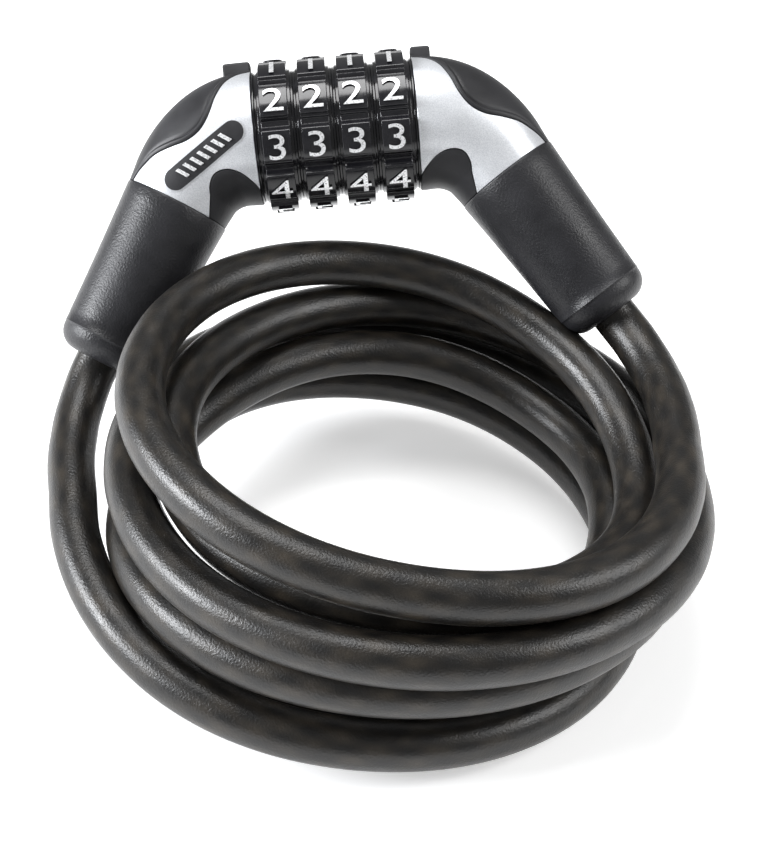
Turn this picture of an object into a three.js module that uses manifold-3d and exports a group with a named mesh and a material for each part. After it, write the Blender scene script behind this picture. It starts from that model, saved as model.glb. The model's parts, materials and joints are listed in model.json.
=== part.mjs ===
// Self-coiling cable lock: a four-dial combination lock body on a vinyl-covered steel cable.
// Millimetres, +Z up. The origin is on the ground, under the cable coil, right below the lock body.
import * as THREE from 'three';
import { mergeVertices } from 'three/addons/utils/BufferGeometryUtils.js';
import Module from 'manifold-3d';

const wasm = await Module();
wasm.setup();

// ---------------------------------------------------------------- driving dimensions
const GAP = 0.3;                       // clearance that touching pieces keep
const CABLE_D = 10;                    // diameter of the covered cable
const CABLE_R = CABLE_D / 2;
const COIL_CENTRE = new THREE.Vector3(0, -50.5, 0);

// lock body: its own axes are +X along the dial axis, +Y out of the bend, +Z out of its front
const LOCK_PLACE = new THREE.Vector3(-20, 15.2, 72.6);
const LOCK_TILT = [50.9, -0.2, 9.3];   // degrees about X, Y and Z

const DIALS = 4;
const DIAL_PITCH = 8.5;
const DIAL_WIDTH = 8.15;
const PAD_WIDTH = 6.1;
const PAD_RADIUS = 16.3;               // corner of a number pad
const FLANGE_RADIUS = 14.3;
const DIAL_BORE = 8.5;
const DIGITS = 10;

const HOUSING_FACE = 17.5;             // where each housing starts along the dial axis
const CORNER = 28.4;                   // where the dial axis meets a sleeve axis
const BEND = THREE.MathUtils.degToRad(58);
const TANGENT = CORNER - HOUSING_FACE;
const BEND_RADIUS = TANGENT / Math.tan(BEND / 2);
const BEND_LENGTH = BEND_RADIUS * BEND;
const SHELL_WALL = 2;

const SLEEVE_START = 15.3;             // distances along a sleeve axis from the corner
const SLEEVE_END = 53.9;
const HOUSING_LENGTH = BEND_LENGTH + SLEEVE_START - GAP - TANGENT;
const SLEEVE_RADIUS = [11.6, 10.2];
const SLEEVE_ROUND = 4.5;
const SLEEVE_BORE = CABLE_R + 0.45;

const BARREL_RADIUS = 6;
const BARREL_BORE = 4.6;
const BARREL_END = 16.9;
const SLOT_WIDTH = 2.4;
const PIN_RADIUS = 4.2;
const FIN_WIDTH = 1.6;
const FIN_RADIUS = 7.1;
const RING_RADIUS = 8.1;               // code ring
const RING_BORE = 6.3;
const RING_POCKET = 7.4;

const ROUND = 28;                      // sides of a full circle

// ---------------------------------------------------------------- materials
function material(color, roughness, metalness) {
  return new THREE.MeshStandardMaterial({ color, roughness, metalness });
}
const silver = () => material(0xc4c8cd, 0.38, 0.75);
const softBlack = () => material(0x3a3a3d, 0.62, 0);
const glossBlack = () => material(0x17171a, 0.22, 0);
const sleeveBlack = () => material(0x3b3b3e, 0.5, 0);
const steel = () => material(0x9a9a98, 0.35, 0.9);
const brass = () => material(0xb59a55, 0.35, 0.9);
const zinc = () => material(0x8b8d90, 0.5, 0.8);
const vinyl = () => material(0x45433f, 0.3, 0);

// ---------------------------------------------------------------- solids
function solid(geometry) {
  const plain = geometry.clone();
  plain.deleteAttribute('normal');
  plain.deleteAttribute('uv');
  const merged = mergeVertices(plain, 1e-4);
  return new wasm.Manifold(new wasm.Mesh({
    numProp: 3,
    vertProperties: new Float32Array(merged.attributes.position.array),
    triVerts: new Uint32Array(merged.index.array),
  }));
}

function geometryOf(manifold) {
  const mesh = manifold.getMesh();
  const geometry = new THREE.BufferGeometry();
  geometry.setAttribute('position', new THREE.BufferAttribute(new Float32Array(mesh.vertProperties), 3));
  geometry.setIndex(new THREE.BufferAttribute(new Uint32Array(mesh.triVerts), 1));
  return geometry;
}

const cut = (body, ...tools) => tools.reduce((left, tool) => left.subtract(tool), body);
const join = (...bodies) => bodies.reduce((all, body) => all.add(body));

// a turned solid about Y from [radius, height] pairs that start and end on the axis or close on themselves
function turned(profile, sides = ROUND) {
  return new THREE.LatheGeometry(profile.map(([r, y]) => new THREE.Vector2(r, y)), sides);
}

function ring(inner, outer, from, to, sides = ROUND) {
  return turned([[inner, from], [outer, from], [outer, to], [inner, to], [inner, from]], sides);
}

function rod(radius, from, to, sides = ROUND) {
  return turned([[0, from], [radius, from], [radius, to], [0, to]], sides);
}

function box(x0, x1, y0, y1, z0, z1) {
  return new THREE.BoxGeometry(x1 - x0, y1 - y0, z1 - z0)
    .translate((x0 + x1) / 2, (y0 + y1) / 2, (z0 + z1) / 2);
}

// turns a piece made about Y so that its axis lies along the dial axis
const alongDials = (geometry) => geometry.rotateZ(-Math.PI / 2);

// turns a piece made about Y so that it runs down the right sleeve, with 0 at the corner
function alongSleeve(geometry) {
  return geometry.rotateZ(-Math.PI / 2 - BEND).translate(CORNER, 0, 0);
}

function mirrored(geometry) {
  const copy = geometry.index ? geometry.clone() : mergeVertices(geometry);
  copy.scale(-1, 1, 1);
  const index = copy.index;
  for (let i = 0; i < index.count; i += 3) {
    const first = index.getX(i);
    index.setX(i, index.getX(i + 2));
    index.setX(i + 2, first);
  }
  return copy;
}

// ---------------------------------------------------------------- the bent housing
// the centre line of the right housing at a distance along it, and its outward direction there
function housingFrame(along) {
  const turn = THREE.MathUtils.clamp(along / BEND_RADIUS, 0, BEND);
  const past = along - turn * BEND_RADIUS;
  const ahead = new THREE.Vector2(Math.cos(turn), -Math.sin(turn));
  const out = new THREE.Vector2(Math.sin(turn), Math.cos(turn));
  const centre = new THREE.Vector2(HOUSING_FACE, -BEND_RADIUS)
    .addScaledVector(out, BEND_RADIUS)
    .addScaledVector(ahead, past);
  return { centre, out };
}

const HOUSING_RADII = [[0, 14.5], [6, 14.2], [10, 13.6], [14, 12.8], [18, 12.2], [HOUSING_LENGTH, 11.7]];

function housingRadius(along) {
  const after = HOUSING_RADII.findIndex(([at]) => at >= along);
  if (after <= 0) {
    return after === 0 ? HOUSING_RADII[0][1] : HOUSING_RADII.at(-1)[1];
  }
  const [from, low] = HOUSING_RADII[after - 1];
  const [to, high] = HOUSING_RADII[after];
  return THREE.MathUtils.mapLinear(along, from, to, low, high);
}

// carries a piece made straight about Y, with Y the distance along the housing, round the bend
function bent(geometry) {
  const position = geometry.attributes.position;
  for (let i = 0; i < position.count; i++) {
    const { centre, out } = housingFrame(position.getY(i));
    const offset = position.getX(i);
    position.setXYZ(i, centre.x + out.x * offset, centre.y + out.y * offset, -position.getZ(i));
  }
  return geometry;
}

// a solid of the housing's outline, inset (or grown, when negative) by a distance
function housingSolid(inset, from = 0, to = HOUSING_LENGTH) {
  const steps = 9;
  const profile = [[0, from]];
  for (let i = 0; i <= steps; i++) {
    const along = from + (to - from) * i / steps;
    profile.push([housingRadius(along) - inset, along]);
  }
  profile.push([0, to]);
  return solid(bent(turned(profile)));
}

// borders of the soft grips on the housing's front: [distance along, distance out of the centre line]
const OUTER_BORDER = [
  [-2, 14], [0, 13.8], [2, 13.1], [3.5, 11.8], [5.2, 9.3], [7, 6.3], [9.2, 4.2], [11.4, 3.5],
  [13.6, 4], [16, 5.8], [18.5, 8], [21.5, 9.5], [26, 10.3],
];
const INNER_BORDER = [
  [-2, -13], [0, -12.7], [3.8, -10.5], [7, -8.3], [10.7, -6.3], [14, -5.5], [17.5, -6.1],
  [21, -7.5], [26, -9.3],
];
const FAR_OUT = 22;

// a prism through the housing on the outer (side 1) or inner (side -1) side of a border
function gripPrism(border, side, shift) {
  const place = ([along, offset]) => {
    const { centre, out } = housingFrame(along);
    return centre.clone().addScaledVector(out, offset + side * shift);
  };
  const shape = new THREE.Shape();
  const edge = border.map(place);
  shape.moveTo(edge[0].x, edge[0].y);
  shape.splineThru(edge.slice(1));
  const far = side > 0 ? FAR_OUT : -BEND_RADIUS + 0.5;
  for (const along of [26, 18, 11, 4, -2]) {
    const corner = place([along, far - side * shift]);
    shape.lineTo(corner.x, corner.y);
  }
  const depth = 40;
  const prism = new THREE.ExtrudeGeometry(shape, { depth, bevelEnabled: false, curveSegments: 2 });
  return solid(prism.translate(0, 0, -depth / 2));
}

// the name badge's place on the left housing, given on the right one's axes
const BADGE = { from: [22, -0.7], to: [35.2, -9.3], radius: 2.4, thick: 0.9 };

function badgePrism(grow) {
  const from = new THREE.Vector2(...BADGE.from);
  const to = new THREE.Vector2(...BADGE.to);
  const turn = to.clone().sub(from).angle();
  const radius = BADGE.radius + grow;
  const shape = new THREE.Shape();
  shape.absarc(to.x, to.y, radius, turn - Math.PI / 2, turn + Math.PI / 2);
  shape.absarc(from.x, from.y, radius, turn + Math.PI / 2, turn + Math.PI * 1.5);
  shape.closePath();
  return solid(new THREE.ExtrudeGeometry(shape, { depth: 20, bevelEnabled: false, curveSegments: 5 }));
}

const SCREW = { along: 9.5, head: 2.6, shank: 1.3 };

// a rod square to the housing's plane, at a distance along the housing
function crossRod(radius, along, from, to, sides = 16) {
  const { centre } = housingFrame(along);
  return rod(radius, from, to, sides).rotateX(Math.PI / 2).translate(centre.x, centre.y, 0);
}

// the raised mark in line with the numbers
function indexBlock(grow) {
  const from = HOUSING_FACE - (grow ? 1 : 0);
  return solid(box(from, HOUSING_FACE + 5 + grow, 12.9 - grow, 16.8, -2.6 - grow, 2.6 + grow));
}

function housingPieces() {
  const tube = cut(housingSolid(0, 0, HOUSING_LENGTH), housingSolid(SHELL_WALL, -1, HOUSING_LENGTH + 1));
  const metal = cut(
    tube,
    gripPrism(OUTER_BORDER, 1, -GAP / 2),
    gripPrism(INNER_BORDER, -1, -GAP / 2),
    indexBlock(GAP),
  );
  const front = solid(box(0, 70, -40, 40, 0, 30));
  const rear = solid(box(0, 70, -40, 40, -30, 0));
  const screwHole = solid(crossRod(SCREW.head + GAP, SCREW.along, -20, -5));
  const core = housingSolid(SHELL_WALL + GAP, GAP, HOUSING_LENGTH);
  return {
    frontShell: metal.intersect(front),
    rearShell: cut(metal.intersect(rear), screwHole),
    outerGrip: join(tube.intersect(gripPrism(OUTER_BORDER, 1, GAP / 2)), indexBlock(0)),
    innerGrip: tube.intersect(gripPrism(INNER_BORDER, -1, GAP / 2)),
    core,
  };
}

function shellScrew() {
  const tip = -4;
  const seat = -(housingRadius(SCREW.along) - SHELL_WALL - GAP) - GAP;
  const head = solid(crossRod(SCREW.head, SCREW.along, seat - 1.6, seat));
  const shank = solid(crossRod(SCREW.shank, SCREW.along, seat - 0.5, tip, 12));
  return join(head, shank);
}

const screwBore = () => solid(crossRod(SCREW.shank + GAP, SCREW.along, -20, -3));

// the pin through the housing that holds the cable's crimped end
const CABLE_PIN = { radius: 1.5, at: 9 };

function cablePin(radius, half) {
  return alongSleeve(rod(radius, -half, half, 16).rotateX(Math.PI / 2).translate(0, CABLE_PIN.at, 0));
}

function ferrule() {
  const crimp = solid(alongSleeve(turned([
    [0, 4.6], [4.8, 4.6], [5.6, 5.4], [5.6, 14.2], [3.9, 14.2], [3.9, 7], [0, 7],
  ], 20)));
  return cut(crimp, solid(cablePin(CABLE_PIN.radius + GAP, 9)));
}

function ropeEnd() {
  const rope = solid(alongSleeve(rod(3.5, 7 + GAP, SLEEVE_END - CABLE_D - 2 - GAP, 16)));
  return cut(rope, solid(cablePin(CABLE_PIN.radius + GAP, 9)));
}

function sleeve() {
  const [start, end] = SLEEVE_RADIUS;
  const profile = [[SLEEVE_BORE, SLEEVE_START], [start - 0.5, SLEEVE_START], [start, SLEEVE_START + 0.6]];
  const corner = SLEEVE_END - SLEEVE_ROUND;
  for (let i = 0; i <= 4; i++) {
    const turn = (Math.PI / 2) * i / 4;
    profile.push([
      end - SLEEVE_ROUND * (1 - Math.cos(turn)),
      corner + SLEEVE_ROUND * Math.sin(turn),
    ]);
  }
  profile.push([SLEEVE_BORE, SLEEVE_END], [SLEEVE_BORE, SLEEVE_START]);
  return solid(alongSleeve(turned(profile)));
}

// ---------------------------------------------------------------- dials, barrel and locking pin
// a dial about Z, with digit 0 towards +Y
function dial() {
  const halfPad = THREE.MathUtils.degToRad(13);
  const halfGroove = THREE.MathUtils.degToRad(3.2);
  const halfStep = THREE.MathUtils.degToRad(360 / DIGITS / 2);
  const shape = new THREE.Shape();
  for (let digit = 0; digit < DIGITS; digit++) {
    const middle = Math.PI / 2 + digit * 2 * halfStep;
    const corners = [
      [PAD_RADIUS - 0.5, -halfPad - 0.02], [PAD_RADIUS, -halfPad + 0.02],
      [PAD_RADIUS, halfPad - 0.02], [PAD_RADIUS - 0.5, halfPad + 0.02],
      [FLANGE_RADIUS + 0.4, halfStep - halfGroove], [FLANGE_RADIUS + 0.4, halfStep + halfGroove],
    ];
    for (const [radius, turn] of corners) {
      const x = radius * Math.cos(middle + turn);
      const y = radius * Math.sin(middle + turn);
      if (shape.curves.length === 0 && shape.currentPoint.lengthSq() === 0) {
        shape.moveTo(x, y);
      } else {
        shape.lineTo(x, y);
      }
    }
  }
  const pads = new THREE.ExtrudeGeometry(shape, { depth: PAD_WIDTH, bevelEnabled: false });
  const body = join(
    solid(pads.translate(0, 0, -PAD_WIDTH / 2)),
    solid(rod(FLANGE_RADIUS, -DIAL_WIDTH / 2, DIAL_WIDTH / 2, 40).rotateX(Math.PI / 2)),
  );
  return cut(body, solid(rod(DIAL_BORE, -DIAL_WIDTH, DIAL_WIDTH).rotateX(Math.PI / 2)));
}

// a code ring about Z: a gate with a notch towards +Y at one end, and a pocket where a fin waits
function codeRing() {
  const half = DIAL_WIDTH / 2 - 0.2;
  const gate = 2.2;
  const body = solid(ring(RING_BORE, RING_RADIUS, -half, half).rotateX(Math.PI / 2));
  const pocket = solid(rod(RING_POCKET, -half - 1, half - gate).rotateX(Math.PI / 2));
  const notch = solid(box(-SLOT_WIDTH / 2, SLOT_WIDTH / 2, 0, RING_POCKET, -10, 10));
  return cut(body, pocket, notch);
}

// turns a piece made about Z so that its axis lies along the dials, with +Y left as it is
const faceAlongDials = (geometry) => geometry.rotateY(Math.PI / 2);

function barrel() {
  const from = -HOUSING_FACE - 6;
  const body = solid(alongDials(ring(BARREL_BORE, BARREL_RADIUS, from, BARREL_END)));
  const slot = solid(box(-17.2, BARREL_END + 1, 2, BARREL_RADIUS + 1, -SLOT_WIDTH / 2, SLOT_WIDTH / 2));
  const springSeat = solid(box(-17, BARREL_END - 1, -BARREL_RADIUS - 1, -5.1, -1.6, 1.6));
  const crossHole = solid(rod(1.5, -12, 12, 12).rotateX(Math.PI / 2).translate(-HOUSING_FACE - 3.4, 0, 0));
  return cut(body, slot, springSeat, crossHole);
}

function clickSpring() {
  return solid(box(-16.7, BARREL_END - 1.3, -5.9, -5.4, -1.3, 1.3));
}

function endCollar() {
  const plain = ring(RING_BORE, FLANGE_RADIUS - 0.2, BARREL_END + 0.1, HOUSING_FACE - 0.1, 40);
  const body = solid(alongDials(plain));
  return cut(body, solid(box(10, 20, 0, RING_POCKET, -SLOT_WIDTH / 2, SLOT_WIDTH / 2)));
}

const PIN_TIP = -16;
const PIN_BASE = 25;
const PIN_RIVET_AT = 22;

function lockingPin() {
  const shank = solid(alongDials(turned([
    [0, PIN_TIP], [PIN_RADIUS - 1.2, PIN_TIP], [PIN_RADIUS, PIN_TIP + 1.2],
    [PIN_RADIUS, PIN_BASE], [0, PIN_BASE],
  ], 24)));
  const fins = dialPlaces().map((middle) => {
    const from = middle - DIAL_WIDTH / 2 + 0.6;
    return solid(box(from, from + 4.4, 2, FIN_RADIUS, -FIN_WIDTH / 2, FIN_WIDTH / 2));
  });
  const rivetHole = solid(rod(1.5, -9, 9, 12).rotateX(Math.PI / 2).translate(PIN_RIVET_AT, 0, 0));
  return cut(join(shank, ...fins), rivetHole);
}

const crossPin = (x, half) => solid(rod(1.2, -half, half, 12).rotateX(Math.PI / 2).translate(x, 0, 0));
const crossPinBore = (x) => solid(rod(1.5, -16, 16, 12).rotateX(Math.PI / 2).translate(x, 0, 0));

function dialPlaces() {
  return Array.from({ length: DIALS }, (_, i) => (i - (DIALS - 1) / 2) * DIAL_PITCH);
}

// ---------------------------------------------------------------- cable
// heights and radii are from the coil's centre; the free ends are lists of points by hand
const COIL = { inner: 41, outer: 60, low: 33, high: 46, edge: 5 };
const RIGHT_LEAD = [
  [46.2, 40.6, 43], [50.2, 34.3, 40.8], [53, 26.9, 39.7], [54.6, 19.1, 39.4], [55.3, 11.1, 39.3],
  [55.3, 3, 39.1],
];
const TOP_TURN = [
  [55.3, -0.3, 39.3], [52.4, -19.8, 41.2], [39.1, -39.1, 42.6], [19.6, -48.2, 44.4], [0, -50.7, 45.6],
  [-19.4, -47.6, 48.2], [-36.8, -36.8, 50.2], [-48.9, -20.3, 51.2], [-53.9, 0, 51.4], [-51.4, 20.2, 51.2],
  [-38.7, 38.7, 50.4], [-21, 49.9, 48.6], [0, 53.1, 46.7],
];
const LEFT_LEAD = [
  [-70, 28.9, 27.8], [-70.9, 25.6, 25.7], [-71.4, 21.9, 24.1], [-71.6, 18.1, 23], [-71.5, 14.2, 22.2],
  [-71.1, 8.3, 21.3], [-70.1, 1, 20.2], [-68.7, -6, 18.9], [-66.6, -14.6, 17.2], [-61.6, -23, 15],
];

const fromCentre = ([x, y, z]) => new THREE.Vector3(x, y, z).add(COIL_CENTRE);

function tube(points, steps) {
  const sides = 10;
  const section = new THREE.Shape();
  for (let i = 0; i < sides; i++) {
    const turn = 2 * Math.PI * i / sides;
    const corner = new THREE.Vector2(Math.cos(turn), Math.sin(turn)).multiplyScalar(CABLE_R);
    if (i === 0) {
      section.moveTo(corner.x, corner.y);
    } else {
      section.lineTo(corner.x, corner.y);
    }
  }
  section.closePath();
  const extrudePath = new THREE.CatmullRomCurve3(points);
  return new THREE.ExtrudeGeometry(section, { steps, extrudePath, bevelEnabled: false });
}

// the wound part of the cable: a ring that is taller on the left, where the turns lie more loosely
function coil() {
  const { inner, outer, low, high, edge } = COIL;
  const top = (low + high) / 2;
  const profile = [
    [inner + edge, 0], [outer - edge, 0], [outer, edge], [outer, top - edge], [outer - edge, top],
    [inner + edge, top], [inner, top - edge], [inner, edge], [inner + edge, 0],
  ];
  const geometry = turned(profile, 28).rotateX(Math.PI / 2);
  const position = geometry.attributes.position;
  for (let i = 0; i < position.count; i++) {
    const lean = 1 - position.getX(i) / outer * (high - low) / (high + low);
    position.setZ(i, position.getZ(i) * lean);
  }
  return geometry.translate(COIL_CENTRE.x, COIL_CENTRE.y, COIL_CENTRE.z);
}

// ---------------------------------------------------------------- assembly
const object = new THREE.Group();
const lock = new THREE.Group();
lock.position.copy(LOCK_PLACE);
lock.rotation.set(...LOCK_TILT.map(THREE.MathUtils.degToRad));
object.add(lock);
lock.updateMatrixWorld(true);

function add(group, name, geometry, finish) {
  const mesh = new THREE.Mesh(geometry, finish);
  mesh.name = name;
  group.add(mesh);
}

function addHousing(side, pieces) {
  const place = side === 'left' ? mirrored : (geometry) => geometry;
  const put = (name, body, finish) => add(lock, `${side}_${name}`, place(geometryOf(body)), finish);
  put('front_shell', pieces.frontShell, silver());
  put('rear_shell', pieces.rearShell, silver());
  put('outer_grip', pieces.outerGrip, softBlack());
  put('inner_grip', pieces.innerGrip, softBlack());
  put('chassis', pieces.chassis, zinc());
  put('shell_screw', shellScrew(), steel());
  put('ferrule', ferrule(), steel());
  put('ferrule_pin', solid(cablePin(CABLE_PIN.radius, 6.6)), steel());
  put('rope_end', ropeEnd(), steel());
  put('sleeve', sleeve(), sleeveBlack());
}

const shared = housingPieces();
const commonBores = [
  screwBore(),
  solid(alongSleeve(rod(5.6 + GAP, 4.2, 30, 20))),
  solid(cablePin(CABLE_PIN.radius + GAP, 16)),
];

// left housing: the barrel is pinned into it, and it carries the badge
const badgeLayer = cut(housingSolid(-0.2), housingSolid(BADGE.thick)).intersect(badgePrism(0));
const badgeSeat = cut(housingSolid(-1), housingSolid(BADGE.thick + GAP)).intersect(badgePrism(GAP));
const leftBarrelPin = HOUSING_FACE + 3.4;
addHousing('left', {
  ...shared,
  frontShell: cut(shared.frontShell, badgeSeat),
  chassis: cut(
    shared.core,
    ...commonBores,
    solid(alongDials(rod(BARREL_RADIUS + GAP, 10, HOUSING_FACE + 6.3))),
    crossPinBore(leftBarrelPin),
  ),
});
add(lock, 'left_badge', mirrored(geometryOf(badgeLayer)), softBlack());
add(lock, 'barrel', geometryOf(barrel()), brass());
add(lock, 'barrel_pin', geometryOf(crossPin(-leftBarrelPin, 11)), steel());
add(lock, 'click_spring', geometryOf(clickSpring()), steel());
add(lock, 'end_collar', geometryOf(endCollar()), glossBlack());

// right housing: the locking pin is riveted into it
addHousing('right', {
  ...shared,
  chassis: cut(
    shared.core,
    ...commonBores,
    solid(alongDials(rod(PIN_RADIUS + GAP, 10, PIN_BASE + 0.4))),
    crossPinBore(PIN_RIVET_AT),
  ),
});
add(lock, 'locking_pin', geometryOf(lockingPin()), brass());
add(lock, 'locking_pin_rivet', geometryOf(crossPin(PIN_RIVET_AT, 11)), steel());

dialPlaces().forEach((place, i) => {
  const wheel = faceAlongDials(geometryOf(dial())).translate(place, 0, 0);
  add(lock, `dial_${i + 1}`, wheel, glossBlack());
  const inside = faceAlongDials(geometryOf(codeRing())).translate(place, 0, 0);
  add(lock, `code_ring_${i + 1}`, inside, brass());
});

// the cable's ends start inside the sleeves, straight along them
function sleevePoint(side, distance) {
  const inPlane = new THREE.Vector3(CORNER + distance * Math.cos(BEND), -distance * Math.sin(BEND), 0);
  inPlane.x *= side;
  return lock.localToWorld(inPlane);
}
const insideSleeve = (side) => [sleevePoint(side, SLEEVE_END - CABLE_D - 2), sleevePoint(side, SLEEVE_END - 3)];

add(object, 'cable_lead_right', tube([...insideSleeve(1), ...RIGHT_LEAD.map(fromCentre)], 5), vinyl());
add(object, 'cable_top_turn', tube(TOP_TURN.map(fromCentre), 14), vinyl());
add(object, 'cable_coil', coil(), vinyl());
add(object, 'cable_lead_left', tube([...insideSleeve(-1), ...LEFT_LEAD.map(fromCentre)], 7), vinyl());

export default object;
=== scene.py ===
import json
import math

import bmesh
import bpy
import numpy as np
from mathutils import Euler, Matrix, Vector


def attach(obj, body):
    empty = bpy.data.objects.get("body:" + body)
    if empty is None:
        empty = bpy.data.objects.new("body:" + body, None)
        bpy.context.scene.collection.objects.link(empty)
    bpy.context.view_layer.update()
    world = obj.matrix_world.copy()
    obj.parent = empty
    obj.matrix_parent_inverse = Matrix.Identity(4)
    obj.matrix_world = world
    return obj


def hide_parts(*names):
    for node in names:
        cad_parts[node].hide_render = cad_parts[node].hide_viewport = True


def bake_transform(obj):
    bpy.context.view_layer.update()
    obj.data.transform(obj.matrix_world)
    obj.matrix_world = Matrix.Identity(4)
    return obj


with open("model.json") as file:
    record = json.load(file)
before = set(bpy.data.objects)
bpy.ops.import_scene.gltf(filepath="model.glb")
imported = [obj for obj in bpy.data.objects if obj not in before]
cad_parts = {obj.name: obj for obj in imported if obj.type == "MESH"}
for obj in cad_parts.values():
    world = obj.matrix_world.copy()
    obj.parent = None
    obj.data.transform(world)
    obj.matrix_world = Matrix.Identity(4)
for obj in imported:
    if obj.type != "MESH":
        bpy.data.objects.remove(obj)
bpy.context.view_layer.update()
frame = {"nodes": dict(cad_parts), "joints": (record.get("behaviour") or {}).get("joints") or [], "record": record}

MM = 0.001
JOINTS = {joint["name"]: joint for joint in frame["joints"]}


# ---------------------------------------------------------------- places that follow the CAD frame
LOCK_CENTRE = Vector(JOINTS["dial_1_turn"]["pos_m"])
LOCK_TILT = (50.9, -0.2, 9.3)                   # degrees, as in the CAD source
LOCK_TURN = Euler([math.radians(a) for a in LOCK_TILT], "ZYX")
LOCK = Matrix.Translation(LOCK_CENTRE) @ LOCK_TURN.to_matrix().to_4x4()
COIL_CENTRE = Vector((0, -50.5, 0)) * MM

CABLE_RADIUS = 5 * MM
CABLE_SIDES = 20
CABLE_STEP = 2 * MM                             # between the rings of points along the cable
INSIDE_SLEEVE = 12 * MM                         # how far the cable goes into a sleeve
FLEX_END = Vector((0, -50.7, 45.6)) * MM        # front of the top turn, from the coil's centre
FLEX_SEARCH = 150                               # rings of the cable among which that place is found

DIALS = 4
DIGITS = 10
DIGIT_ANGLE = 36                                # degrees
DIAL_PITCH = 8.5 * MM
DIAL_WIDTH = 8.46 * MM
PAD_RADIUS = 16.25 * MM

HOUSING_FACE = 17.5 * MM
CORNER = 28.4 * MM
BEND = math.radians(58)
BEND_RADIUS = (CORNER - HOUSING_FACE) / math.tan(BEND / 2)
BEND_LENGTH = BEND_RADIUS * BEND
SLEEVE_START = 15.3 * MM
SLEEVE_END = 53.9 * MM
SLEEVE_GAP = 0.3 * MM                           # left open in the CAD, closed by the shells here
HOUSING_LENGTH = BEND_LENGTH + SLEEVE_START - SLEEVE_GAP - (CORNER - HOUSING_FACE)
SHELL_FROM = 0.1 * MM
SHELL_TO = HOUSING_LENGTH + SLEEVE_GAP


# ---------------------------------------------------------------- camera, lights and floor
def camera():
    data = bpy.data.cameras.new("camera")
    data.lens = 74.64
    data.sensor_width = 36
    eye = bpy.data.objects.new("camera", data)
    bpy.context.scene.collection.objects.link(eye)
    elevation, roll = math.radians(38.21), math.radians(4.05)
    level = Vector((1, 0, 0))
    upright = Vector((0, math.sin(elevation), math.cos(elevation)))
    right = level * math.cos(roll) + upright * math.sin(roll)
    up = upright * math.cos(roll) - level * math.sin(roll)
    turn = Matrix((right, up, right.cross(up))).transposed()
    eye.matrix_world = Matrix.Translation(Vector((-5.7, -328.8, 262.4)) * MM) @ turn.to_4x4()
    bpy.context.scene.camera = eye


def area_light(name, place, aim, size, power, colour=(1, 1, 1)):
    data = bpy.data.lights.new(name, "AREA")
    data.shape = "RECTANGLE"
    data.size, data.size_y = size
    data.energy = power
    data.color = colour
    lamp = bpy.data.objects.new(name, data)
    bpy.context.scene.collection.objects.link(lamp)
    place = Vector(place)
    turn = (Vector(aim) - place).to_track_quat("-Z", "Y")
    lamp.matrix_world = Matrix.Translation(place) @ turn.to_matrix().to_4x4()


def studio():
    world = bpy.data.worlds.new("studio")
    bpy.context.scene.world = world
    world.use_nodes = True
    background = world.node_tree.nodes["Background"]
    background.inputs["Color"].default_value = (1, 1, 1, 1)
    background.inputs["Strength"].default_value = 0.27
    aim = (0, -0.03, 0.03)
    area_light("overhead", (-0.17, 0.14, 0.95), (-0.02, 0.015, 0.07), (0.6, 0.36), 6)
    area_light("left_key", (-0.88, -0.2, 0.36), aim, (0.5, 0.2), 15, (0.95, 0.97, 1))
    area_light("right_fill", (0.7, -0.1, 0.6), aim, (0.35, 0.5), 4.5)
    bpy.context.scene.view_settings.view_transform = "Standard"


def floor():
    mesh = bpy.data.meshes.new("floor")
    half = 3
    corners = [(-half, -half, 0), (half, -half, 0), (half, half, 0), (-half, half, 0)]
    mesh.from_pydata(corners, [], [(0, 1, 2, 3)])
    piece = bpy.data.objects.new("floor", mesh)
    bpy.context.scene.collection.objects.link(piece)
    finish = bpy.data.materials.new("floor")
    finish.use_nodes = True
    shader = finish.node_tree.nodes["Principled BSDF"]
    shader.inputs["Base Color"].default_value = (0.9, 0.9, 0.9, 1)
    shader.inputs["Roughness"].default_value = 0.8
    shader.inputs["Emission Color"].default_value = (1, 1, 1, 1)
    shader.inputs["Emission Strength"].default_value = 0.45
    mesh.materials.append(finish)


# ---------------------------------------------------------------- the cable's route
# The free stretches are points given from the coil's centre.
RIGHT_LEAD = [
    (46.2, 40.6, 43), (48.4, 37.6, 41.8), (50.2, 34.3, 40.8), (51.8, 30.7, 40.1), (53, 26.9, 39.7),
    (54, 23, 39.5), (54.6, 19.1, 39.4), (55.1, 15.1, 39.3), (55.3, 11.1, 39.3), (55.4, 7, 39.2),
    (55.3, 3, 39.1),
]
LEFT_LEAD = [
    (-70.3, 3.8, 20.8), (-71, 7.6, 21.2), (-71.4, 11.3, 21.7), (-71.6, 15, 22.3), (-71.7, 18.6, 23.2),
    (-71.4, 22.2, 24.3), (-70.9, 25.6, 25.9), (-70.1, 28.7, 27.9),
]
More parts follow.
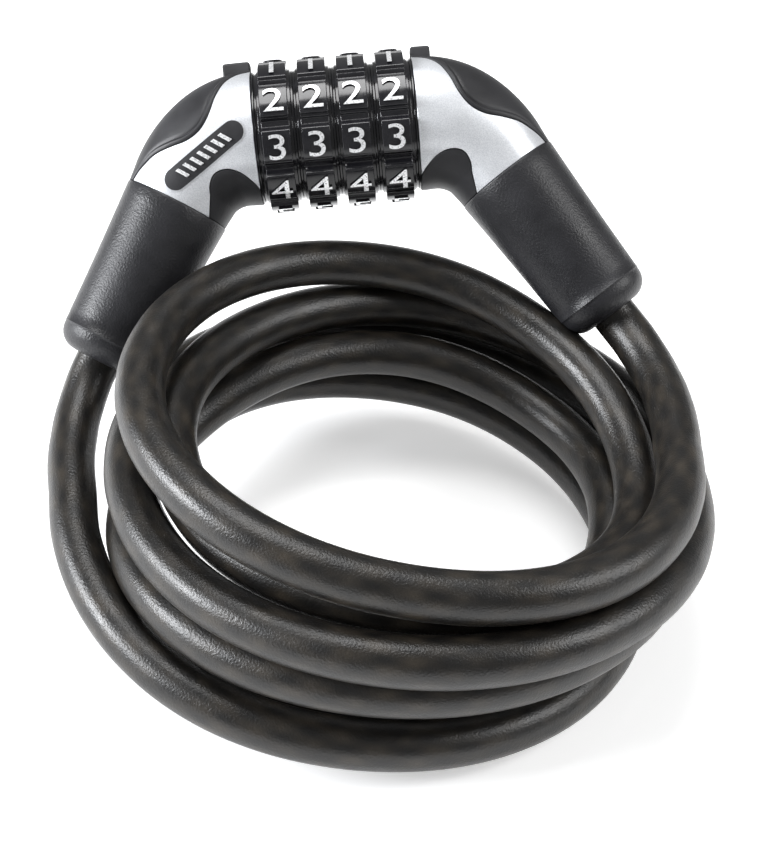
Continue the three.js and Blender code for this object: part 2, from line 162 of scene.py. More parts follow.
# The turns, clockwise from the right as seen from above: one row for each turn, from its right side round
# the front and left to the back, with the radius and the height of its centre line every 45 degrees.
TURN_RADII = [
    [55.3, 55.3, 50.7, 52.1, 53.9, 54.7, 53.1, 50],
    [48.3, 47.6, 45.6, 46.8, 47.8, 49.3, 54.8, 58.8],
    [59.1, 58.7, 57.6, 56.7, 56.5, 57.7, 57.4, 56.9],
    [55.5, 54.8, 55.4, 57.4, 55.4, 45.7, 45.7, 46.8],
    [44.3, 43.4, 45.1, 50.8, 57.2, 60.1, 56.3, 51.3],
    [49.1, 50.5, 54.7, 62.2, 69.4],
]
TURN_HEIGHTS = [
    [39.3, 42.6, 45.6, 50.2, 51.4, 50.3, 45.2, 37.1],
    [29.9, 34.3, 36.4, 37.6, 40.3, 39.4, 35, 29.1],
    [28.1, 32.9, 34.8, 34.1, 34, 30.7, 23.6, 18.5],
    [18.4, 23.2, 24.5, 23.5, 21.1, 29.2, 27.5, 20.9],
    [20.3, 16.5, 12.8, 10.4, 10.9, 13.4, 11.6, 8.4],
    [5.3, 6, 8.9, 12.9, 20.3],
]
STEP_ANGLE = math.radians(45)
STEPS_BETWEEN = 4                               # points added to each 45 degrees of a turn


def smooth(values, share):
    """The value of an even Catmull-Rom curve through the values, at share counted in steps."""
    i = min(int(share), len(values) - 2)
    t = share - i
    before = values[i - 1] if i else 2 * values[0] - values[1]
    after = values[i + 2] if i + 2 < len(values) else 2 * values[-1] - values[-2]
    a, b = values[i], values[i + 1]
    return 0.5 * (2 * a + (b - before) * t + (2 * before - 5 * a + 4 * b - after) * t * t
                  + (3 * a - before - 3 * b + after) * t ** 3)


def coil_points():
    radii = [value for row in TURN_RADII for value in row]
    heights = [value for row in TURN_HEIGHTS for value in row]
    points = []
    for step in range((len(radii) - 1) * STEPS_BETWEEN + 1):
        share = step / STEPS_BETWEEN
        angle = -STEP_ANGLE * share
        radius = smooth(radii, share)
        points.append((radius * math.cos(angle), radius * math.sin(angle), smooth(heights, share)))
    return points


def sleeve_point(side, distance):
    """A point on a sleeve's axis, at a distance from the corner of the lock's bend."""
    place = Vector((CORNER + distance * math.cos(BEND), -distance * math.sin(BEND), 0))
    place.x *= side
    return LOCK @ place


def route():
    def from_centre(points):
        return [Vector(p) * MM + COIL_CENTRE for p in points]

    inside = [SLEEVE_END - INSIDE_SLEEVE, SLEEVE_END - 3 * MM]
    start = [sleeve_point(1, d) for d in inside]
    end = [sleeve_point(-1, d) for d in reversed(inside)]
    return start + from_centre(RIGHT_LEAD) + from_centre(coil_points()) + from_centre(LEFT_LEAD) + end


def curve_through(rows):
    """A function that gives a smooth curve's value at a place, from rows of place and value."""
    rows = np.array(rows, float)
    at = rows[:, 0]
    values = rows[:, 1:]
    slopes = np.gradient(values, at, axis=0)

    def value(place):
        i = int(np.clip(np.searchsorted(at, place) - 1, 0, len(at) - 2))
        gap = at[i + 1] - at[i]
        t = (place - at[i]) / gap
        return ((2 * t ** 3 - 3 * t ** 2 + 1) * values[i] + (t ** 3 - 2 * t ** 2 + t) * gap * slopes[i]
                + (3 * t ** 2 - 2 * t ** 3) * values[i + 1] + (t ** 3 - t ** 2) * gap * slopes[i + 1])
    return value


def evenly(points, spacing):
    """The points an even distance apart on the smooth curve through the given ones."""
    rows = np.array([p[:] for p in points])
    along = np.concatenate([[0], np.cumsum(np.linalg.norm(np.diff(rows, axis=0), axis=1))])
    curve = curve_through(np.column_stack([along, rows]))
    fine = np.array([curve(place) for place in np.linspace(0, along[-1], 8 * len(rows))])
    reach = np.concatenate([[0], np.cumsum(np.linalg.norm(np.diff(fine, axis=0), axis=1))])
    at = np.linspace(0, reach[-1], int(round(reach[-1] / spacing)) + 1)
    return np.column_stack([np.interp(at, reach, fine[:, k]) for k in range(3)])


# ---------------------------------------------------------------- materials
class Finish:
    """A Principled material that is put together node by node."""

    def __init__(self, name, colour, roughness, metallic=0.0, **sockets):
        self.material = bpy.data.materials.new(name)
        self.material.use_nodes = True
        self.tree = self.material.node_tree
        self.shader = self.tree.nodes["Principled BSDF"]
        self.shader.inputs["Base Color"].default_value = (*colour, 1)
        self.shader.inputs["Roughness"].default_value = roughness
        self.shader.inputs["Metallic"].default_value = metallic
        for socket, value in sockets.items():
            self.shader.inputs[socket.replace("_", " ")].default_value = value
        self.place = self.node("ShaderNodeTexCoord").outputs["Object"]

    def node(self, kind, **settings):
        made = self.tree.nodes.new(kind)
        for setting, value in settings.items():
            setattr(made, setting, value)
        return made

    def link(self, source, target):
        self.tree.links.new(source, target)

    def noise(self, size, detail=2.0, stretch=None):
        """Noise from 0 to 1 whose features are about size metres across."""
        made = self.node("ShaderNodeTexNoise")
        made.inputs["Scale"].default_value = 1 / size
        made.inputs["Detail"].default_value = detail
        place = self.place
        if stretch:
            shape = self.node("ShaderNodeMapping")
            shape.inputs["Scale"].default_value = stretch
            self.link(place, shape.inputs["Vector"])
            place = shape.outputs["Vector"]
        self.link(place, made.inputs["Vector"])
        return made.outputs["Fac"]

    def spread(self, value, low, high, start=0.3, end=0.7):
        """value from start to end, mapped to low to high."""
        made = self.node("ShaderNodeMapRange")
        for socket, number in (("From Min", start), ("From Max", end), ("To Min", low), ("To Max", high)):
            made.inputs[socket].default_value = number
        self.link(value, made.inputs["Value"])
        return made.outputs["Result"]

    def math(self, operation, first, second=None):
        made = self.node("ShaderNodeMath", operation=operation)
        for socket, value in zip(made.inputs, (first, second)):
            if isinstance(value, (int, float)):
                socket.default_value = value
            elif value is not None:
                self.link(value, socket)
        return made.outputs["Value"]

    def mix(self, share, first, second):
        made = self.node("ShaderNodeMix", data_type="RGBA")     # its colours are inputs 6 and 7 and output 2
        self.link(share, made.inputs["Factor"])
        for socket, colour in ((made.inputs[6], first), (made.inputs[7], second)):
            if isinstance(colour, tuple):
                socket.default_value = (*colour, 1)
            else:
                self.link(colour, socket)
        return made.outputs[2]

    def colour(self, source):
        self.link(source, self.shader.inputs["Base Color"])

    def roughness(self, source):
        self.link(source, self.shader.inputs["Roughness"])

    def bump(self, *layers):
        """Stacks bump layers of (height from 0 to 1, depth in metres)."""
        normal = None
        for height, depth in layers:
            made = self.node("ShaderNodeBump")
            made.inputs["Distance"].default_value = depth
            self.link(height, made.inputs["Height"])
            if normal:
                self.link(normal, made.inputs["Normal"])
            normal = made.outputs["Normal"]
        self.link(normal, self.shader.inputs["Normal"])


def silver_finish():
    finish = Finish("silver", (0.66, 0.68, 0.71), 0.38, 0.5, Coat_Weight=0.25, Coat_Roughness=0.25)
    flake = finish.noise(0.22 * MM, 1)
    cloud = finish.noise(6 * MM, 3)
    finish.colour(finish.mix(finish.spread(flake, 0, 1), (0.6, 0.62, 0.65), (0.8, 0.815, 0.84)))
    finish.roughness(finish.spread(cloud, 0.32, 0.42))
    finish.bump((flake, 0.01 * MM))
    return finish.material


def moulded_finish(name, colour, roughness, grain):
    """Black moulded plastic or rubber with a fine grain, slight mottling and rubbed places."""
    finish = Finish(name, colour, roughness, Specular_IOR_Level=0.4)
    fine = finish.noise(0.45 * MM, 3)
    cloud = finish.noise(8 * MM, 4)
    light = tuple(min(1, c * 1.35) for c in colour)
    dark = tuple(c * 0.8 for c in colour)
    finish.colour(finish.mix(finish.spread(cloud, 0, 1), dark, light))
    finish.roughness(finish.spread(cloud, roughness - 0.05, roughness + 0.07))
    finish.bump((fine, grain * MM), (finish.noise(2.5 * MM, 2), 0.03 * MM))
    return finish.material


def gloss_finish():
    finish = Finish("gloss_black", (0.01, 0.01, 0.012), 0.12, Specular_IOR_Level=0.55)
    smear = finish.noise(4 * MM, 4)
    finish.colour(finish.mix(finish.spread(smear, 0, 1), (0.007, 0.007, 0.009), (0.014, 0.014, 0.016)))
    finish.roughness(finish.spread(smear, 0.08, 0.2))
    finish.bump((finish.noise(1.5 * MM, 1), 0.006 * MM))
    return finish.material


def number_finish():
    finish = Finish("number_silver", (0.85, 0.86, 0.87), 0.3, 0.6)
    wear = finish.noise(0.5 * MM, 3)
    finish.colour(finish.mix(finish.spread(wear, 0, 1), (0.8, 0.81, 0.82), (0.94, 0.94, 0.95)))
    finish.roughness(finish.spread(wear, 0.22, 0.38))
    return finish.material


def metal_finish(name, colour, roughness, scratch):
    finish = Finish(name, colour, roughness, 1.0)
    lines = finish.noise(0.6 * MM, 3, stretch=(0.15, 1, 1))
    finish.colour(finish.mix(finish.spread(lines, 0, 1), tuple(c * 0.78 for c in colour), colour))
    finish.roughness(finish.spread(lines, roughness - 0.06, roughness + 0.1))
    finish.bump((lines, scratch * MM))
    return finish.material


def vinyl_finish():
    """Smoke-tinted vinyl over a laid wire rope: the attribute 'rope' holds each point's turn round the
    cable, as a cosine and a sine, and its distance along it in metres."""
    finish = Finish("smoke_vinyl", (0.02, 0.018, 0.016), 0.34, Specular_IOR_Level=0.5)
    rope = finish.node("ShaderNodeAttribute", attribute_name="rope")
    parts = finish.node("ShaderNodeSeparateXYZ")
    finish.link(rope.outputs["Vector"], parts.inputs["Vector"])
    turn = finish.math("ARCTAN2", parts.outputs["Y"], parts.outputs["X"])

    def lay(strands, length):
        """A wave, from -1 to 1, over strands that go once round the rope in length metres."""
        along = finish.math("MULTIPLY", parts.outputs["Z"], 2 * math.pi * strands / length)
        return finish.math("SINE", finish.math("ADD", finish.math("MULTIPLY", turn, strands), along))

    strands = lay(5, 55 * MM)
    wires = lay(8, -90 * MM)
    knit = finish.math("ADD", finish.math("MULTIPLY", strands, 0.55), finish.math("MULTIPLY", wires, 0.45))
    haze = finish.spread(finish.noise(6 * MM, 4), 0, 1)
    seen = finish.math("MULTIPLY", finish.spread(knit, 0, 1, -0.9, 0.9), haze)
    finish.colour(finish.mix(seen, (0.006, 0.0055, 0.005), (0.032, 0.026, 0.019)))
    finish.roughness(finish.spread(finish.noise(7 * MM, 3), 0.3, 0.4))
    finish.bump((finish.noise(0.45 * MM, 3), 0.09 * MM), (finish.noise(11 * MM, 1), 0.1 * MM))
    return finish.material


FINISHES = {
    "silver_shell": silver_finish(),
    "soft_grip": moulded_finish("soft_grip", (0.017, 0.017, 0.019), 0.48, 0.03),
    "dial_black": gloss_finish(),
    "sleeve_rubber": moulded_finish("sleeve_rubber", (0.014, 0.014, 0.016), 0.38, 0.11),
    "cable_vinyl": vinyl_finish(),
    "steel": metal_finish("steel", (0.55, 0.55, 0.56), 0.3, 0.01),
    "brass": metal_finish("brass", (0.72, 0.56, 0.27), 0.28, 0.01),
    "zinc": metal_finish("zinc", (0.42, 0.43, 0.45), 0.45, 0.02),
}
NUMBER_SILVER = number_finish()


# ---------------------------------------------------------------- pieces
def piece(name, points, faces, body, slot, replaces=(), bevel=0.0, segments=3):
    """A smooth-shaded closed mesh on a body, with rounded edges where bevel is given."""
    mesh = bpy.data.meshes.new(name)
    mesh.from_pydata([tuple(p) for p in points], [], faces)
    shape = bmesh.new()
    shape.from_mesh(mesh)
    bmesh.ops.remove_doubles(shape, verts=shape.verts, dist=0.002 * MM)
    bmesh.ops.recalc_face_normals(shape, faces=shape.faces)
    shape.to_mesh(mesh)
    shape.free()
    mesh.shade_smooth()
    mesh.materials.append(FINISHES[slot])
    made = bpy.data.objects.new(name, mesh)
    bpy.context.scene.collection.objects.link(made)
    if bevel:
        rounding = made.modifiers.new("rounding", "BEVEL")
        rounding.width = bevel
        rounding.segments = segments
        rounding.limit_method = "ANGLE"
        rounding.angle_limit = math.radians(35)
        rounding.harden_normals = True
        rounding.miter_outer = "MITER_ARC"
    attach(made, body)
    if replaces:
        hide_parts(*replaces)
    return made


def bands(rows, closed_rows=False, closed_columns=False, start=0):
    """The quads of a grid of points that is written row by row."""
    across = len(rows[0])
    faces = []
    for i in range(len(rows) - (0 if closed_rows else 1)):
        for j in range(across - (0 if closed_columns else 1)):
            below = (i + 1) % len(rows)
            beside = (j + 1) % across
            faces.append(tuple(start + k for k in (
                i * across + j, i * across + beside, below * across + beside, below * across + j)))
    return faces


def turned(profile, sides, place):
    """Points and faces of a solid turned about +X from a closed outline of (along, radius) pairs."""
    angles = [2 * math.pi * j / sides for j in range(sides)]
    rows = []
    for along, radius in profile:
        along, radius = along * MM, radius * MM
        rows.append([place @ Vector((along, radius * math.cos(a), radius * math.sin(a))) for a in angles])
    faces = bands(rows, closed_rows=True, closed_columns=True)
    return [p for row in rows for p in row], faces


def rounded(profile, radius=0.12, steps=3):
    """A closed outline of (along, radius) corners with each corner rounded."""
    corners = [Vector(p) for p in profile]
    outline = []
    for i, corner in enumerate(corners):
        before = (corners[i - 1] - corner).normalized()
        after = (corners[(i + 1) % len(corners)] - corner).normalized()
        for k in range(steps + 1):
            t = k / steps
            start, end = corner + before * radius, corner + after * radius
            outline.append(tuple(start * (1 - t) ** 2 + corner * 2 * t * (1 - t) + end * t ** 2))
    return outline


# the cable
def cable_rings(path):
    """The directions out of the cable's middle at every point of its path, ring by ring."""
    tangents = np.gradient(path, axis=0)
    tangents /= np.linalg.norm(tangents, axis=1)[:, None]
    side = np.cross(tangents[0], (0, 0, 1))
    rings = []
    for ahead in tangents:
        side = side - ahead * (side @ ahead)
        side /= np.linalg.norm(side)
        other = np.cross(ahead, side)
        angles = 2 * math.pi * np.arange(CABLE_SIDES) / CABLE_SIDES
        rings.append(np.outer(np.cos(angles), side) + np.outer(np.sin(angles), other))
    return np.array(rings)


def tube(name, path, rings, start, replaces):
    """A stretch of the cable that starts at a distance along it."""
    points = (path[:, None] + CABLE_RADIUS * rings).reshape(-1, 3)
    faces = bands(rings, closed_columns=True)
    last = len(points) - CABLE_SIDES
    faces.append(tuple(reversed(range(CABLE_SIDES))))
    faces.append(tuple(range(last, last + CABLE_SIDES)))
    rope = []
    for k in range(len(path)):
        for j in range(CABLE_SIDES):
            angle = 2 * math.pi * j / CABLE_SIDES
            rope.append((math.cos(angle), math.sin(angle), start + k * CABLE_STEP))
    mesh = bpy.data.meshes.new(name)
    mesh.from_pydata([tuple(p) for p in points], [], faces)
    attribute = mesh.attributes.new("rope", "FLOAT_VECTOR", "POINT")
    attribute.data.foreach_set("vector", np.array(rope, np.float32).ravel())
    mesh.shade_smooth()
    mesh.normals_split_custom_set_from_vertices([tuple(n) for n in rings.reshape(-1, 3)])
    mesh.materials.append(FINISHES["cable_vinyl"])
    made = bpy.data.objects.new(name, mesh)
    bpy.context.scene.collection.objects.link(made)
    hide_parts(*replaces)
    return made


def cable():
    """The cable in two pieces: the stretch by the right sleeve, where the real cable bends as the pin is pulled,
    is left on no body, and the rest stays with the lock body.
    """
    path = evenly(route(), CABLE_STEP)
    rings = cable_rings(path)
    front = np.array(COIL_CENTRE + FLEX_END)
    split = int(np.argmin(np.linalg.norm(path[:FLEX_SEARCH] - front, axis=1)))
    reach = split * CABLE_STEP
    flex = tube("cable_flex", path[:split + 1], rings[:split + 1], 0, ["cable_lead_right"])
    sleeve_point(1, SLEEVE_END)
    # path[6] is INSIDE_SLEEVE along the cable, where it comes out of the right sleeve
    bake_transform(flex)
    main = tube("cable_main", path[split:], rings[split:], reach,
                ["cable_coil", "cable_top_turn", "cable_lead_left"])
    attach(main, "lock_body")
    sleeve_point(-1, SLEEVE_END)


# the bent housing: a place on it is a distance along its centre line and an angle from its outside to its
# front. The radius, and each border's offset towards the outside, follow the distance along.
HOUSING_RADIUS = curve_through([
    (0, 14.6), (4, 14.5), (8, 14.1), (12, 13.4), (16, 12.7), (20, 12.1), (24, 11.7), (27, 11.5),
])
OUTER_BORDER = curve_through([
    (0, 13.8), (2, 13.1), (3.5, 11.8), (5.2, 9.2), (7, 6.2), (9.2, 4.1), (11.4, 3.5), (13.6, 4), (16, 5.8),
    (18.5, 8), (21.5, 9.5), (25, 10.2),
])
INNER_BORDER = curve_through([
    (0, -12.7), (3.8, -10.5), (7, -8.3), (10.7, -6.3), (14, -5.5), (17.5, -6.1), (21, -7.5), (25, -9.1),
])
SKIN = 2 * MM                                   # depth of the shells and grips


def housing_radius(along):
    return float(HOUSING_RADIUS(along / MM)[0]) * MM


def border_angle(border, along):
    offset = float(border(along / MM)[0]) * MM
    return math.acos(max(-1, min(1, offset / housing_radius(along))))


def on_housing(side, along, angle, lift):
    turn = min(max(along / BEND_RADIUS, 0), BEND)
    past = along - turn * BEND_RADIUS
    ahead = Vector((math.cos(turn), -math.sin(turn), 0))
    out = Vector((math.sin(turn), math.cos(turn), 0))
    centre = Vector((HOUSING_FACE, -BEND_RADIUS, 0)) + out * BEND_RADIUS + ahead * past
    radius = housing_radius(along) + lift
    place = centre + out * radius * math.cos(angle) + Vector((0, 0, radius * math.sin(angle)))
    place.x *= side
    return LOCK @ place


def slab(outer, inner):
    """Points and faces of a closed sheet between two grids of points of one size."""
    down, across = len(outer), len(outer[0])
    points = [p for row in outer + inner for p in row]
    faces = bands(outer) + bands(inner, start=down * across)
    rim = [(0, j) for j in range(across)] + [(i, across - 1) for i in range(1, down)]
    rim += [(down - 1, j) for j in range(across - 2, -1, -1)] + [(i, 0) for i in range(down - 2, 0, -1)]
    spots = [i * across + j for i, j in rim]
    for here, there in zip(spots, spots[1:] + spots[:1]):
        faces.append((here, there, there + down * across, here + down * across))
    return points, faces


def shell_patch(name, side, body, slot, rows, replaces, bevel):
    """A closed shell under rows of (along, angle, lift) on the housing."""
    outer = [[on_housing(side, *spot) for spot in row] for row in rows]
    inner = [[on_housing(side, along, angle, -SKIN) for along, angle, lift in row] for row in rows]
    points, faces = slab(outer, inner)
    piece(name, points, faces, body, slot, replaces, bevel)


def on_front(side, x, y, lift):
    """A point over the housing's front at x and y in the housing's own plane."""
    turn = min(max(math.atan2(x - HOUSING_FACE, y + BEND_RADIUS), 0), BEND)
    ahead = Vector((math.cos(turn), -math.sin(turn)))
    out = Vector((math.sin(turn), math.cos(turn)))
    centre = Vector((HOUSING_FACE, -BEND_RADIUS)) + out * BEND_RADIUS
    past = max(0, (Vector((x, y)) - centre).dot(ahead))
    offset = (Vector((x, y)) - centre).dot(out)
    radius = housing_radius(turn * BEND_RADIUS + past)
    height = math.sqrt(max(radius ** 2 - offset ** 2, 0)) + lift
    return LOCK @ Vector((x * side, y, height))


BADGE_FROM = Vector((22, -0.7)) * MM
BADGE_TO = Vector((35.2, -9.3)) * MM
BADGE_RADIUS = 2.4 * MM
BADGE_DEPTH = 1.2 * MM
BADGE_AHEAD = (BADGE_TO - BADGE_FROM).normalized()
BADGE_ACROSS = Vector((-BADGE_AHEAD.y, BADGE_AHEAD.x))
BADGE_REACH = (BADGE_TO - BADGE_FROM).length


def badge_plate(name, grow, lift, slot, replaces=()):
    """A pill with round ends that follows the left housing's front."""
    radius = BADGE_RADIUS + grow
    end_steps, middle_steps, half_across = 8, 16, 6
    quarters = [math.pi / 2 * k / end_steps for k in range(end_steps + 1)]
    columns = [-radius * math.cos(angle) for angle in quarters[:-1]]
    columns += [BADGE_REACH * k / middle_steps for k in range(middle_steps + 1)]
    columns += [BADGE_REACH + radius * math.sin(angle) for angle in quarters[1:]]
    top, bottom = [], []
    for along in columns:
        beyond = max(-along, along - BADGE_REACH, 0)
        half = math.sqrt(max(radius ** 2 - beyond ** 2, 0)) + 0.01 * MM
        middle = BADGE_FROM + BADGE_AHEAD * along
        shares = [k / half_across - 1 for k in range(2 * half_across + 1)]
        spots = [middle + BADGE_ACROSS * (half * share) for share in shares]
        top.append([on_front(-1, spot.x, spot.y, lift) for spot in spots])
        bottom.append([on_front(-1, spot.x, spot.y, -BADGE_DEPTH) for spot in spots])
    points, faces = slab(top, bottom)
    piece(name, points, faces, "lock_body", slot, replaces, bevel=0.12 * MM)


def badge_motif():
    """A plain row of raised slanting bars, where the photograph has lettering."""
    points, faces = [], []
    bars, pitch, half_height, half_width, slant = 7, 1.95 * MM, 1.3 * MM, 0.42 * MM, 0.55 * MM
    base, top = 0.1 * MM, 0.62 * MM
    middle = BADGE_REACH / 2
    for bar in range(bars):
        along = middle + (bar - (bars - 1) / 2) * pitch
        start = len(points)
        for lift in (base, top):
            for v in (-1, 0, 1):
                for u in (-1, 1):
                    spot = BADGE_FROM + BADGE_AHEAD * (along + u * half_width + v * slant)
                    spot = spot + BADGE_ACROSS * v * half_height
                    points.append(on_front(-1, spot.x, spot.y, lift))
        for loop in ((0, 1, 3, 2), (2, 3, 5, 4), (6, 7, 9, 8), (8, 9, 11, 10), (0, 1, 7, 6), (4, 5, 11, 10),
                     (0, 2, 8, 6), (2, 4, 10, 8), (1, 3, 9, 7), (3, 5, 11, 9)):
            faces.append(tuple(start + k for k in loop))
    made = piece("badge_motif", points, faces, "lock_body", "silver_shell", bevel=0.1 * MM)
    made.data.materials[0] = NUMBER_SILVER


SCREW_ALONG = 9.5 * MM
SCREW_HEAD = [
    (-1.6, 0.01), (-1.6, 2.6), (0.15, 2.6), (0.4, 2.2), (0.5, 1.45), (0.42, 1.3), (-0.6, 1.3), (-0.6, 0.01),
]
SCREW_SOCKET = [(-0.75, 0.01), (-0.75, 1.5), (0.25, 1.5), (0.25, 1.25), (-0.55, 1.2), (-0.55, 0.01)]


def rear_screw(side, label, body):
    """A pan head with a six-sided recess, sunk a little in the rear of the housing."""
    head = on_housing(side, SCREW_ALONG, -math.pi / 2, 0)
    outward = (on_housing(side, SCREW_ALONG, -math.pi / 2, 1 * MM) - head).normalized()
    place = Matrix.Translation(head) @ outward.to_track_quat("X", "Z").to_matrix().to_4x4()
    points, faces = turned(SCREW_HEAD, 48, place)
    piece(f"{label}_screw_head", points, faces, body, "steel", [f"{label}_shell_screw"], bevel=0.08 * MM)
    points, faces = turned(SCREW_SOCKET, 6, place)
    piece(f"{label}_screw_socket", points, faces, body, "steel", bevel=0.08 * MM)


SEAM = 0.12 * MM                                # half of the gap between a grip and the silver shell


def silver_shells(side, label, body):
    down, across = 72, 26
    for face, front in (("front", 1), ("rear", -1)):
        rows = []
        for i in range(down + 1):
            along = SHELL_FROM + (SHELL_TO - SHELL_FROM) * i / down
            radius = housing_radius(along)
            top = border_angle(OUTER_BORDER, along) + SEAM / radius
            bottom = border_angle(INNER_BORDER, along) - SEAM / radius
            angles = [top + (bottom - top) * j / across for j in range(across + 1)]
            rows.append([(along, front * angle, 0) for angle in angles])
        replaces = [f"{label}_{face}_shell"]
        shell_patch(f"{label}_{face}_skin", side, body, "silver_shell", rows, replaces, 0.35 * MM)


# the profile of a grip's edge: distance in from its border, and height
OUTER_LIP = [(0, 0.1), (0.3, 0.32), (0.6, 0.34), (0.85, 0.12), (1.05, -0.1), (1.35, 0.06), (1.8, 0.1)]
INNER_LIP = [(0, -0.05), (0.5, 0.05)]


def grip(name, side, body, border, middle, replaces, lip):
    """A grip that lies between a border and its mirror image behind, about the angle called middle."""
    down, across = 80, 24
    toward = 1 if middle == 0 else -1
    places = np.linspace(SHELL_FROM, SHELL_TO, down + 1)
    half = []
    for along in places:
        radius = housing_radius(along)
        angle = border_angle(border, along)
        half.append((along, (angle if middle == 0 else math.pi - angle) * radius - SEAM))
    half = np.array(half)
    slope = np.gradient(half, axis=0)
    slope /= np.linalg.norm(slope, axis=1)[:, None]
    inward = np.column_stack([slope[:, 1], -slope[:, 0]])
    rows = []
    for k, along in enumerate(places):
        near = []
        for distance, height in lip:
            spot = half[k] + inward[k] * distance * MM
            spot[0] = min(max(spot[0], SHELL_FROM), SHELL_TO) if 0 < k < down else along
            near.append((spot[0], max(spot[1], 0.2 * MM), height * MM))
        a, width, h = near[-1]
        row = near + [(a, width * (1 - 2 * j / across), h) for j in range(1, across)]
        row += [(a, -w, h) for a, w, h in reversed(near)]
        rows.append([(a, middle + toward * w / housing_radius(a), h) for a, w, h in row])
    shell_patch(name, side, body, "soft_grip", rows, replaces, 0.15 * MM)


def index_block(side, label, body):
    """The raised mark in line with digit 0, with a bevelled top and rounded edges."""
    low, high = (17.7 * MM, 23.8 * MM) if side < 0 else (17.6 * MM, 22 * MM)
    corners = [(low, -1, -2.4), (high, 1, -2.2), (high, 1, 2.2), (low, -1, 2.4)]
    rows = []
    for height, shrink in ((12.4, 0), (16.2, 0), (16.75, 0.25)):    # shrink draws the corners in
        row = []
        for x, outward, z in corners:
            x, z = x - shrink * MM * outward, z - shrink * (1 if z > 0 else -1)
            row.append(LOCK @ Vector((x * side, height * MM, z * MM)))
        rows.append(row)
    points = [p for row in rows for p in row]
    faces = bands(rows, closed_columns=True) + [(3, 2, 1, 0), (8, 9, 10, 11)]
    piece(f"{label}_index_mark", points, faces, body, "soft_grip", bevel=0.45 * MM, segments=4)


def sleeve(side, label, body):
    """A tapered boot with a fine parting line near its round end."""
    axis = Vector((math.cos(BEND) * side, -math.sin(BEND), 0))
    across = Vector((math.sin(BEND) * side, math.cos(BEND), 0))
    turn = Matrix((axis, across, axis.cross(across))).transposed().to_4x4()
    place = LOCK @ Matrix.Translation(Vector((CORNER * side, 0, 0))) @ turn
    start, end = SLEEVE_START / MM, SLEEVE_END / MM
    bore, corner, line = 5.25, 4.5, end - 5.2
    widest, taper, waist, lead_in, steps = 11.9, 1.45, 0.12, 0.45, 12
    profile = [(start, bore), (start, 11.5), (start + 0.12, 11.78), (start + lead_in, widest)]
    for k in range(1, steps):
        t = k / steps
        along = start + lead_in + (line - lead_in - start) * t
        profile.append((along, widest - taper * t - waist * math.sin(math.pi * t)))
    profile += [(line - 0.12, 10.42), (line - 0.05, 10.5), (line + 0.05, 10.5), (line + 0.12, 10.42)]
    for k in range(9):
        angle = math.pi / 2 * k / 8
        profile.append((end - corner * (1 - math.sin(angle)), 10.36 - corner * (1 - math.cos(angle))))
    profile += [(end - 0.05, 5.55), (end - 0.4, bore)]
    points, faces = turned(profile, 72, place)
    piece(f"{label}_sleeve_boot", points, faces, body, "sleeve_rubber", [f"{label}_sleeve"])


# dials
WHEEL_HALF = 3.05 * MM
WHEEL_BORE = 9 * MM
FLANGE_BORE, FLANGE_FACE, FLANGE_RIM, FLANGE_STEP = 8.5, 14.0, 14.4, 0.55


def dial_outline():
    """A dial's outline as (angle, radius) pairs, with digit 0 at a quarter turn."""
    pad_top = 16.28
    step = [(-15.6, 14.75), (-13.8, 15.55), (-13.3, 15.62), (-12.6, 16.05), (-12, 16.22)]
    outline = []
    for digit in range(DIGITS):
        middle = 90 + DIGIT_ANGLE * digit
        outline += [(middle + a, r) for a, r in step]
        outline += [(middle + a, pad_top) for a in (-9, -6, -3, 0, 3, 6, 9)]
        outline += [(middle - a, r) for a, r in reversed(step)]
    return [(math.radians(a), r * MM) for a, r in outline]


def dial(number):
    """A wheel with ten pads and their numbers, on a wider hub with a rim between smooth flanges."""
    middle = (number - 1 - (DIALS - 1) / 2) * DIAL_PITCH
    place = LOCK @ Matrix.Translation(Vector((middle, 0, 0)))
    outline = dial_outline()
    bore = [(a, WHEEL_BORE) for a, r in outline]
    rows = []
    for x, edge in ((-WHEEL_HALF, outline), (WHEEL_HALF, outline), (WHEEL_HALF, bore), (-WHEEL_HALF, bore)):
        rows.append([place @ Vector((x, r * math.sin(a), r * math.cos(a))) for a, r in edge])
    points = [p for row in rows for p in row]
    faces = bands(rows, closed_rows=True, closed_columns=True)
    body = f"dial_{number}"
    piece(f"dial_{number}_wheel", points, faces, body, "dial_black", [f"dial_{number}"], bevel=0.22 * MM)
    width = DIAL_WIDTH / 2 / MM
    flange = [(-width, FLANGE_BORE), (-width, FLANGE_FACE)]
    flange += [(-width + FLANGE_STEP, FLANGE_FACE), (-width + FLANGE_STEP, FLANGE_RIM)]
    flange += [(width - FLANGE_STEP, FLANGE_RIM), (width - FLANGE_STEP, FLANGE_FACE)]
    flange += [(width, FLANGE_FACE), (width, FLANGE_BORE)]
    points, faces = turned(rounded(flange), 96, place)
    piece(f"dial_{number}_flanges", points, faces, body, "dial_black")
    numbers(number, place)


DIGIT_HEIGHT = 5.3 * MM
DIGIT_STRETCH = 1.3                             # how much wider than the typeface's own numerals
TOP_FACING = 0.7                                # cosine within which a numeral's face is its silver top


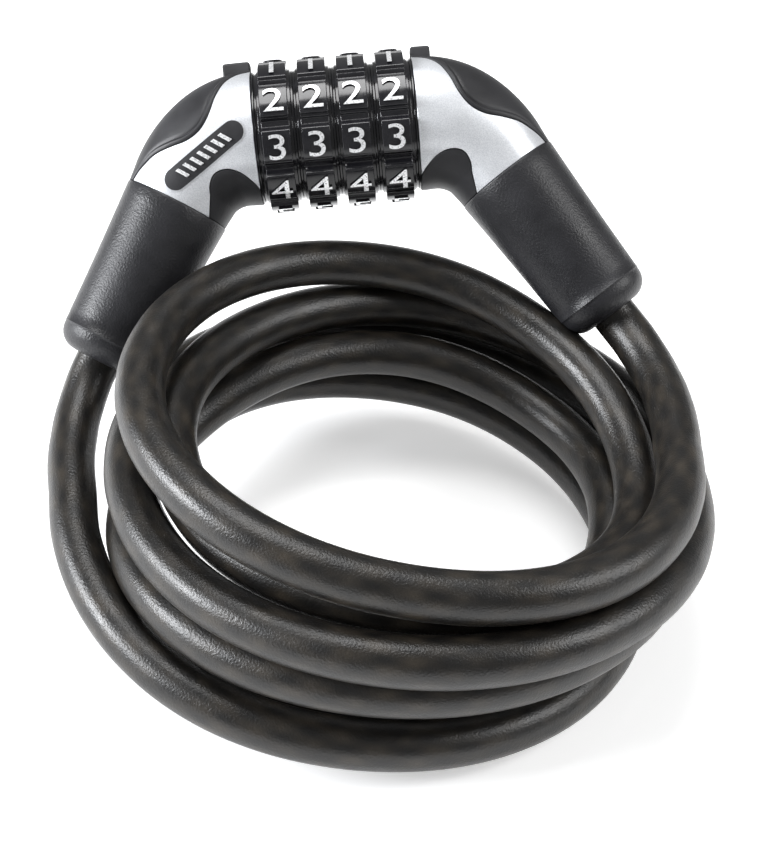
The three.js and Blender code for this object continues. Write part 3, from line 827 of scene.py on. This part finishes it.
def digit_mesh(text):
    """Points and faces of one numeral, its middle at 0, its top face at height 1 and its back at 0."""
    data = bpy.data.curves.new("digit", "FONT")
    data.body = text
    data.size = DIGIT_HEIGHT
    data.extrude = 0.5
    data.resolution_u = 6
    holder = bpy.data.objects.new("digit", data)
    mesh = bpy.data.meshes.new_from_object(holder)
    rows = np.array([v.co for v in mesh.vertices])
    rows[:, :2] -= (rows[:, :2].min(0) + rows[:, :2].max(0)) / 2
    grow = DIGIT_HEIGHT / (2 * rows[:, 1].max())
    rows[:, 0] *= grow * DIGIT_STRETCH
    rows[:, 1] *= grow
    rows[:, 2] = (rows[:, 2] > 0)
    faces = [tuple(p.vertices) for p in mesh.polygons]
    bpy.data.objects.remove(holder)
    bpy.data.meshes.remove(mesh)
    bpy.data.curves.remove(data)
    return rows, faces


def numbers(number, place):
    """Ten raised numerals with silver tops and black sides."""
    points, faces = [], []
    base, rise = PAD_RADIUS - 0.25 * MM, 0.7 * MM
    for digit in range(DIGITS):
        rows, quads = digit_mesh(str(digit))
        middle = math.radians(90 - DIGIT_ANGLE * digit)
        start = len(points)
        for x, y, z in rows:
            angle = middle + y / PAD_RADIUS
            radius = base + z * rise
            points.append(place @ Vector((x, radius * math.sin(angle), radius * math.cos(angle))))
        faces += [tuple(start + k for k in quad) for quad in quads]
    made = piece(f"dial_{number}_numbers", points, faces, f"dial_{number}", "dial_black")
    made.data.materials.append(NUMBER_SILVER)
    axis_point = place.translation
    along = (place.to_3x3() @ Vector((1, 0, 0))).normalized()
    for polygon in made.data.polygons:
        polygon.use_smooth = False
        out = polygon.center - axis_point
        out -= along * out.dot(along)
        if polygon.normal.dot(out.normalized()) > TOP_FACING:
            polygon.material_index = 1


def end_collars():
    """The two thin black rings between the outer dials and the housings."""
    bore, radius, width = 8.4, 14.3, 0.48
    for name, low, replaces in (("left_end_ring", -17.48, []), ("end_ring", 17, ["end_collar"])):
        ring = rounded([(low, bore), (low, radius), (low + width, radius), (low + width, bore)])
        points, faces = turned(ring, 96, LOCK)
        piece(name, points, faces, "lock_body", "dial_black", replaces)


# ---------------------------------------------------------------- the scene
camera()
studio()
floor()
cable()
for number in range(1, DIALS + 1):
    dial(number)
end_collars()
for side, label, body in ((-1, "left", "lock_body"), (1, "right", "pin_end")):
    silver_shells(side, label, body)
    grip(f"{label}_outer_pad", side, body, OUTER_BORDER, 0, [f"{label}_outer_grip"], OUTER_LIP)
    grip(f"{label}_inner_pad", side, body, INNER_BORDER, math.pi, [f"{label}_inner_grip"], INNER_LIP)
    index_block(side, label, body)
    sleeve(side, label, body)
    rear_screw(side, label, body)
badge_plate("badge_rim", 0.28 * MM, 0.1 * MM, "silver_shell")
badge_plate("badge_plate", 0, 0.22 * MM, "soft_grip", ["left_badge"])
badge_motif()

for row in frame["record"]["subparts"]:
    node = frame["nodes"][row["node"]]
    node.data.materials.clear()
    node.data.materials.append(FINISHES[row["material_slot"]])
